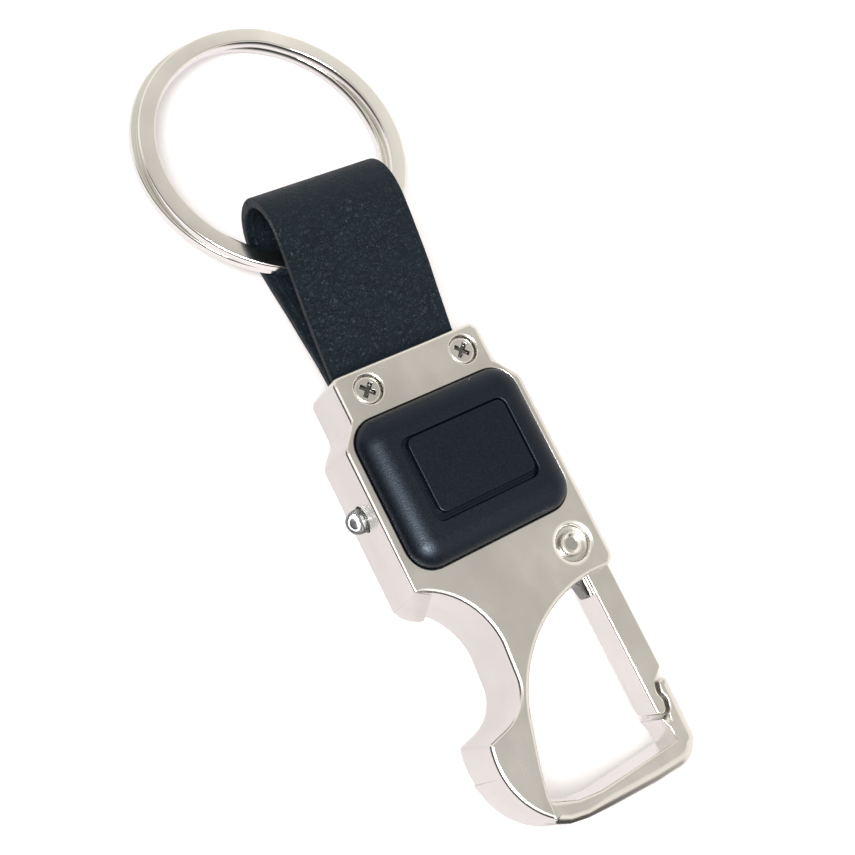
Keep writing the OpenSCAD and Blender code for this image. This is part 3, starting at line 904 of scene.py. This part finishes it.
class KEYCHAIN_OT_strap(bpy.types.Operator):
    """Adds the leather strap, from one end in the clamp round its loop to the other"""

    bl_idname = "keychain.strap"
    bl_label = "Strap"

    def centreline(self, t):
        """Points (y, z) along the middle of the leather, in metres."""
        low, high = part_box("strap")
        tail_low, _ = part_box("strap_tail")
        mouth, flat = MOUTH_Y * MM, STRAP_Z * MM
        half = t / 2 + 0.01 * MM
        radius = (high.z - low.z) / 2
        mid = Vector((high.y - radius, low.z + radius))
        r = radius - t / 2
        front_end, back_end = math.radians(106.3), math.radians(-102.4)
        front_lead, back_lead = Vector((20.5, 6.2)) * MM, Vector((20.5, 3.95)) * MM
        reach = 6 * MM
        tail_steps, leaf_steps, arc_steps = 4, 24, 40

        def on_loop(a):
            return mid + r * Vector((math.cos(a), math.sin(a)))

        def leaf(start, lead, angle, side):
            """A curve from the mouth to where the loop begins, with the loop's direction there."""
            end = on_loop(angle)
            back = end - side * reach * Vector((math.sin(angle), -math.cos(angle)))
            points = []
            for i in range(leaf_steps + 1):
                u = i / leaf_steps
                points.append(
                    start * (1 - u) ** 3
                    + 3 * lead * u * (1 - u) ** 2
                    + 3 * back * u * u * (1 - u)
                    + end * u**3
                )
            return points

        tail = [tail_low.y + (mouth - tail_low.y) * i / tail_steps for i in range(tail_steps)]
        front = leaf(Vector((mouth, flat + half)), front_lead, front_end, 1)
        back = leaf(Vector((mouth, flat - half)), back_lead, back_end, -1)
        arc = [on_loop(front_end + (back_end - front_end) * i / arc_steps) for i in range(1, arc_steps)]
        upper_tail = [Vector((y, flat + half)) for y in tail]
        lower_tail = [Vector((y, flat - half)) for y in tail[::-1]]
        return upper_tail + front + arc + back[::-1] + lower_tail

    def lay(self, obj, s, path, run, across):
        """Lays a flat grid along the path, with a pressed line by each edge and a slight waviness."""
        half = s.width / 2
        free_length, line_in, line_depth, wave_height = 19, MM, 0.07 * MM, 0.03 * MM
        waves_along, waves_across = 57, 900
        spots = {}
        for v in obj.data.vertices:
            i = round((v.co.x + 0.5) * (len(across) - 1))
            j = round((v.co.y + 0.5) * (len(path) - 1))
            spots[v.index] = (i, j)
        uv = obj.data.uv_layers.active.data
        for loop in obj.data.loops:
            i, j = spots[loop.vertex_index]
            uv[loop.index].uv = ((across[i] + half) / s.width, run[j] / run[-1])
        for v in obj.data.vertices:
            i, j = spots[v.index]
            x = across[i]
            past_mouth = (path[j].x / MM - MOUTH_Y) / free_length
            free = max(0.0, math.sin(math.pi * min(1, max(0, past_mouth))))
            before, after = path[max(j - 1, 0)], path[min(j + 1, len(path) - 1)]
            way = (after - before).normalized()
            out = Vector((-way.y, way.x))
            line = -line_depth if abs(abs(x) - (half - line_in)) < 0.05 * MM else 0
            wave = wave_height * math.sin(run[j] / run[-1] * waves_along + x * waves_across) * free
            swell = max(0, x / half) * s.bow * free
            v.co = (x + swell, path[j].x + out.x * (line + wave), path[j].y + out.y * (line + wave))

    def execute(self, context):
        s = context.scene.keychain_strap
        path = self.centreline(s.thickness)
        run = [0.0]
        for a, b in zip(path, path[1:]):
            run.append(run[-1] + (b - a).length)
        half = s.width / 2
        # Columns of the grid, as distances from an edge, in millimetres
        columns = [0, 0.25, 0.6, 0.85, 1.0, 1.15, 1.6, 2.6, 4.2, 6.2]
        across = [-half + v * MM for v in columns] + [0] + [half - v * MM for v in columns[::-1]]
        clear_selection()
        bpy.ops.mesh.primitive_grid_add(
            x_subdivisions=len(across) - 1, y_subdivisions=len(path) - 1, size=1, calc_uvs=True
        )
        obj = named("leather_strap")
        self.lay(obj, s, path, run, across)
        shell = obj.modifiers.new("leaf", "SOLIDIFY")
        shell.thickness = s.thickness
        shell.offset = 0
        shell.use_even_offset = True
        apply(obj, shell)
        edit(obj)
        face_outwards()
        done()
        round_edges(obj, 0.32 * MM, segments=3, angle=60)
        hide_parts("strap", "strap_tail")
        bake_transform(obj, "case", "strap", start=(0, 0.0154, 0.005), end=(0, 0.0185, 0.005))
        place(obj, "strap", leather("dyed leather", tuple(s.colour), s.width, run[-1]))
        return {"FINISHED"}


class KEYCHAIN_OT_ring(bpy.types.Operator):
    """Adds the split ring: two turns of flat wire that part a little beside their ends"""

    bl_idname = "keychain.ring"
    bl_label = "Key ring"

    def turn(self, s, name, slip, level):
        """One turn of the wire, moved aside by slip, with its underside at a level."""
        corner, steps = 0.24 * MM, 192
        clear_selection()
        bpy.ops.mesh.primitive_plane_add(size=1, rotation=(math.pi / 2, 0, 0))
        obj = named(name)
        obj.scale = (s.wire_width, s.wire_thickness, 1)
        obj.location = (s.bore / 2 + s.wire_width / 2, 0, level + s.wire_thickness / 2)
        settle(obj)
        edit(obj)
        pick_all()
        bpy.ops.mesh.bevel(offset=corner, segments=3, affect="VERTICES")
        bpy.ops.mesh.select_mode(type="FACE")
        pick_all()
        bpy.ops.mesh.delete(type="ONLY_FACE")
        bpy.ops.mesh.select_mode(type="EDGE")
        pick_all()
        bpy.ops.mesh.spin(steps=steps, angle=2 * math.pi, center=(0, 0, 0), axis=(0, 0, 1))
        pick_all()
        bpy.ops.mesh.remove_doubles(threshold=SAME_POINT)
        face_outwards()
        done()
        for v in obj.data.vertices:
            v.co.x += slip[0]
            v.co.y += slip[1]
        return obj

    def part(self, obj, slip, parting):
        """Lifts a turn beside its end, quickly at first and then down again slowly."""
        start, rising, falling = 55, 18, 52
        for v in obj.data.vertices:
            turned = (math.degrees(math.atan2(v.co.y - slip[1], v.co.x - slip[0])) - start) % 360
            if turned < rising:
                v.co.z += parting * (1 - math.cos(math.pi * turned / rising)) / 2
            elif turned < rising + falling:
                v.co.z += parting * (1 + math.cos(math.pi * (turned - rising) / falling)) / 2

    def execute(self, context):
        s = context.scene.keychain_ring
        metal = plated_metal("ring plating", tuple(s.colour), 0.14, grain=3000, depth=0.000003)
        slip = Vector((-0.28, 0.32)) * MM
        tilt = (math.radians(-3.8), math.radians(3.6), 0)
        upper = self.turn(s, "ring_upper_turn", -slip, 0.01 * MM)
        self.part(upper, -slip, s.parting)
        lower = self.turn(s, "ring_lower_turn", slip, -s.wire_thickness)
        low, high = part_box("key_ring")
        for obj in (upper, lower):
            obj.rotation_euler = tilt
            obj.location = (low + high) / 2
            settle(obj)
            smooth(obj)
        only(upper)
        lower.select_set(True)
        bpy.ops.object.join()
        ring = named("split_ring")
        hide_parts("key_ring")
        place(ring, "ring", metal)
        return {"FINISHED"}


class KEYCHAIN_OT_cover(bpy.types.Operator):
    """Adds the torch's domed cover, with a window for the button"""

    bl_idname = "keychain.cover"
    bl_label = "Torch cover"

    def execute(self, context):
        s = context.scene.keychain_torch
        low, high = (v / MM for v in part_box("torch_cover"))
        left, front, right, rear = BUTTON
        width, rise = s.crown / MM, s.crown_rise / MM
        foot = high.z - rise
        corner_r, wall, hollow, window_r, through = 3.2, 0.9, 2.6, 1.15, 3
        obj = rounded_box("cover_shell", low, (high.x, high.y, foot + width), corner_r, 12)
        round_top(obj, width, 12)
        # The round shoulder is pressed flatter than it is wide
        for v in obj.data.vertices:
            if v.co.z > foot * MM:
                v.co.z = foot * MM + (v.co.z - foot * MM) * rise / width
        edit(obj)
        pick(obj, "faces", lambda f: f.normal.z < -0.99)
        bpy.ops.mesh.inset(thickness=wall * MM)
        extrude_up(hollow * MM)
        done()
        window = rounded_box(
            "window_cutter",
            (left - BUTTON_GAP, front - BUTTON_GAP, high.z - through),
            (right + BUTTON_GAP, rear + BUTTON_GAP, high.z + through),
            window_r,
        )
        combine(obj, window, "DIFFERENCE")
        round_edges(obj, 0.2 * MM, segments=3, angle=50)
        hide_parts("torch_cover")
        plastic = moulded_plastic("blasted black plastic", tuple(s.colour), 0.4)
        place(obj, "case", plastic)
        return {"FINISHED"}


class KEYCHAIN_OT_button(bpy.types.Operator):
    """Adds the push button with its raised panel"""

    bl_idname = "keychain.button"
    bl_label = "Push button"

    def execute(self, context):
        s = context.scene.keychain_torch
        low, high = (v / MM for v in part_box("torch_button"))
        left, front, right, rear = BUTTON
        edge = s.button_edge / MM
        # The border lies a step below the panel, and a groove below the border runs round the panel
        step, corner_r = high.z - 0.5, 1
        foot, flange_top = low.z + 0.05, low.z + 0.45
        border_x, border_y, groove_depth, groove_r = 0.33, 0.2, 0.4, 0.8
        panel_x, panel_y, past, shy = 0.75, 0.62, 2, 0.01
        obj = rounded_box("push_button", (left, front, foot), (right - shy, rear - shy, step), corner_r)
        groove = rounded_box(
            "groove_cutter",
            (left + border_x, front + border_y, step - groove_depth),
            (right + past, rear + past, step + 1),
            groove_r,
        )
        combine(obj, groove, "DIFFERENCE")
        round_edges(obj, 0.6 * edge, angle=50)
        panel = rounded_box("panel", (left + panel_x, front + panel_y, foot), (right, rear, high.z), corner_r)
        round_top(panel, edge, 3)
        combine(obj, panel, "UNION")
        flange = rounded_box("flange", low, (high.x, high.y, flange_top), 0.1, 1)
        combine(obj, flange, "UNION")
        smooth(obj)
        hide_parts("torch_button")
        plastic = moulded_plastic("smooth black plastic", tuple(s.colour), 0.36, depth=0.00002)
        place(obj, "button", plastic)
        return {"FINISHED"}


class KEYCHAIN_OT_lamp(bpy.types.Operator):
    """Adds the clear lamp with its flange"""

    bl_idname = "keychain.lamp"
    bl_label = "Lamp"

    def execute(self, context):
        low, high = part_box("led_lens")
        mid = (low + high) / 2
        r, flange_w, flange_t = 1.5 * MM, 0.35 * MM, 0.95 * MM
        grow = (r + flange_w) / r
        clear_selection()
        bpy.ops.mesh.primitive_uv_sphere_add(
            segments=48,
            ring_count=24,
            radius=r,
            location=(low.x + r, mid.y, mid.z),
            rotation=(0, math.pi / 2, 0),
        )
        obj = settle(named("lamp_lens"))
        edit(obj)
        pick(obj, "verts", lambda v: v.co.x > low.x + r + SAME_POINT)
        bpy.ops.mesh.delete(type="VERT")
        pick(obj, "edges", lambda e: e.is_boundary)
        extrude_right(high.x - flange_t - low.x - r)
        extrude_right(0)
        bpy.ops.transform.resize(value=(1, grow, grow), center_override=mid)
        extrude_right(flange_t)
        bpy.ops.mesh.edge_face_add()
        face_outwards()
        done()
        smooth(obj)
        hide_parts("led_lens")
        place(obj, "case", clear_lens("clear lens"))
        return {"FINISHED"}


class KEYCHAIN_OT_inside(bpy.types.Operator):
    """Gives the hidden pieces inside the case their finishes"""

    bl_idname = "keychain.inside"
    bl_label = "Inside"

    def execute(self, context):
        tray = moulded_plastic("tray plastic", (0.03, 0.03, 0.034), 0.5)
        tin = plated_metal("tinned wire", (0.78, 0.77, 0.74), 0.3, grain=6000)
        cans = plated_metal("cell cans", (0.7, 0.7, 0.69), 0.32, grain=4000)
        brass = plated_metal("contact strip", (0.75, 0.6, 0.32), 0.3, grain=5000)
        white = moulded_plastic("switch stem plastic", (0.7, 0.7, 0.66), 0.45)
        chip = moulded_plastic("chip body", (0.02, 0.02, 0.02), 0.45)
        board = circuit_green("lacquered board", (0.03, 0.16, 0.07))
        finishes = {
            "torch_base": tray,
            "circuit_board": board,
            "switch_housing": chip,
            "switch_stem": white,
            "resistor": chip,
            "led_leads": tin,
            "button_cells": cans,
            "contact_positive": brass,
            "contact_negative": brass,
        }
        for node, material in finishes.items():
            data = NODES[node].data
            data.materials.clear()
            data.materials.append(material)
        return {"FINISHED"}


class KEYCHAIN_OT_stage(bpy.types.Operator):
    """Adds the floor, the soft surroundings, the lights and the camera"""

    bl_idname = "keychain.stage"
    bl_label = "Stage"

    def floor(self, s):
        """A large sheet of paper that glows a little and doesn't show in reflections."""
        colour = tuple(s.floor)
        clear_selection()
        bpy.ops.mesh.primitive_plane_add(size=3, location=(0, 0, -0.02 * MM))
        floor = named("floor")
        paper = Shader("floor paper")
        paper.set(Roughness=0.9, Specular_IOR_Level=0.1)
        paper.set(Emission_Color=(*colour, 1), Emission_Strength=s.backlight)
        fibres = paper.noise(scale=300, detail=3)
        paper.colour(paper.ramp(fibres, (0.0, tinted(colour, 0.99)), (1.0, colour)))
        paper.bump(fibres, 0.00002, strength=0.1)
        floor.data.materials.append(paper.material)
        floor.visible_glossy = False

    def warmed(self, stops):
        """The stops of a brightness ramp as colours, pink from the floor and warm from above."""
        pink, warm, floor_line = (1.0, 0.94, 0.96), (1.0, 0.96, 0.885), 0.16
        return [(at, tinted(pink if at < floor_line else warm, value)) for at, value in stops]

    def surroundings(self, s):
        """A studio that is open on one side and dark on the other, with a plain backdrop."""
        open_way, backdrop = (0.75, 0.65, 0), (0.95, 0.94, 0.93, 1)
        world = bpy.data.worlds.new("studio")
        bpy.context.scene.world = world
        world.use_nodes = True
        studio = Nodes(world.node_tree)
        way = studio.add("ShaderNodeTexCoord").outputs["Generated"]
        split = studio.add("ShaderNodeSeparateXYZ", {"Vector": way})
        height = studio.spread(split.outputs["Z"], low=0, high=1, start=-1)
        open_side = studio.ramp(height, *self.warmed(OPEN_SIDE))
        dark_side = studio.ramp(height, *self.warmed(DARK_SIDE))
        across = studio.add("ShaderNodeVectorMath", {0: way, 1: open_way}, operation="DOT_PRODUCT")
        openness = studio.spread(across.outputs["Value"], 0, 1, start=-0.35, end=-0.05, curve="SMOOTHSTEP")
        room = studio.mixed(openness, dark_side, open_side)
        ray = studio.add("ShaderNodeLightPath")
        seen = studio.mixed(ray.outputs["Is Camera Ray"], room, backdrop)
        strength = studio.spread(ray.outputs["Is Diffuse Ray"], low=s.sky, high=s.sky * s.fill)
        background = studio.tree.nodes["Background"]
        studio.link(seen, background.inputs["Color"])
        studio.link(strength, background.inputs["Strength"])

    def light(self, name, at, power):
        """A round soft light that shines on the keychain."""
        clear_selection()
        bpy.ops.object.light_add(type="AREA", location=at)
        lamp = bpy.context.object
        lamp.name = name
        lamp.data.shape = "DISK"
        lamp.data.size = 0.35
        lamp.data.energy = power
        lamp.rotation_euler = (-Vector(at)).to_track_quat("-Z", "Y").to_euler()
        return lamp

    def camera(self, scene):
        """The camera, placed by the outlines of the case in the photograph."""
        frame_pixels, focal_pixels, sensor = 855, 1250, 36
        clear_selection()
        bpy.ops.object.camera_add()
        camera = bpy.context.object
        camera.name = "camera"
        camera.matrix_world = Matrix(
            (
                (0.8279, 0.3702, -0.4213, -0.06346),
                (-0.4481, 0.8883, -0.1001, -0.00883),
                (0.3372, 0.2717, 0.9014, 0.14112),
                (0, 0, 0, 1),
            )
        )
        camera.data.sensor_width = sensor
        camera.data.lens = focal_pixels / frame_pixels * sensor
        camera.data.clip_start = 0.01
        camera.data.clip_end = 10
        scene.camera = camera

    def execute(self, context):
        s = context.scene.keychain_stage
        self.floor(s)
        self.surroundings(s)
        key = self.light("key", (-0.37, -0.09, 0.8), s.key)
        key.visible_glossy = False
        softbox = self.light("softbox", (-0.29, -0.25, 0.72), s.side)
        softbox.visible_diffuse = False
        self.camera(context.scene)
        context.scene.view_settings.view_transform = "Standard"
        return {"FINISHED"}


PIECES = (
    KEYCHAIN_OT_case,
    KEYCHAIN_OT_gate,
    KEYCHAIN_OT_fasteners,
    KEYCHAIN_OT_strap,
    KEYCHAIN_OT_ring,
    KEYCHAIN_OT_cover,
    KEYCHAIN_OT_button,
    KEYCHAIN_OT_lamp,
    KEYCHAIN_OT_inside,
    KEYCHAIN_OT_stage,
)


class KEYCHAIN_PT_pieces(bpy.types.Panel):
    """Lists the keychain's pieces and their sizes and colours"""

    bl_idname = "KEYCHAIN_PT_pieces"
    bl_label = "Keychain"
    bl_space_type = "VIEW_3D"
    bl_region_type = "UI"
    bl_category = "Keychain"

    def draw(self, context):
        for name, group in SETTINGS.items():
            box = self.layout.box()
            for key in group.__annotations__:
                box.prop(getattr(context.scene, name), key)
        for piece in PIECES:
            self.layout.operator(piece.bl_idname)


def register():
    for cls in (*SETTINGS.values(), *PIECES, KEYCHAIN_PT_pieces):
        bpy.utils.register_class(cls)
    for name, group in SETTINGS.items():
        setattr(bpy.types.Scene, name, PointerProperty(type=group))


def unregister():
    for name in SETTINGS:
        delattr(bpy.types.Scene, name)
    for cls in (KEYCHAIN_PT_pieces, *PIECES[::-1], *SETTINGS.values()):
        bpy.utils.unregister_class(cls)


def main():
    register()
    bpy.ops.keychain.stage()
    bpy.ops.keychain.case()
    bpy.ops.keychain.gate()
    bpy.ops.keychain.fasteners()
    bpy.ops.keychain.strap()
    bpy.ops.keychain.ring()
    bpy.ops.keychain.cover()
    bpy.ops.keychain.button()
    bpy.ops.keychain.lamp()
    bpy.ops.keychain.inside()


if __name__ == "__main__":
    main()
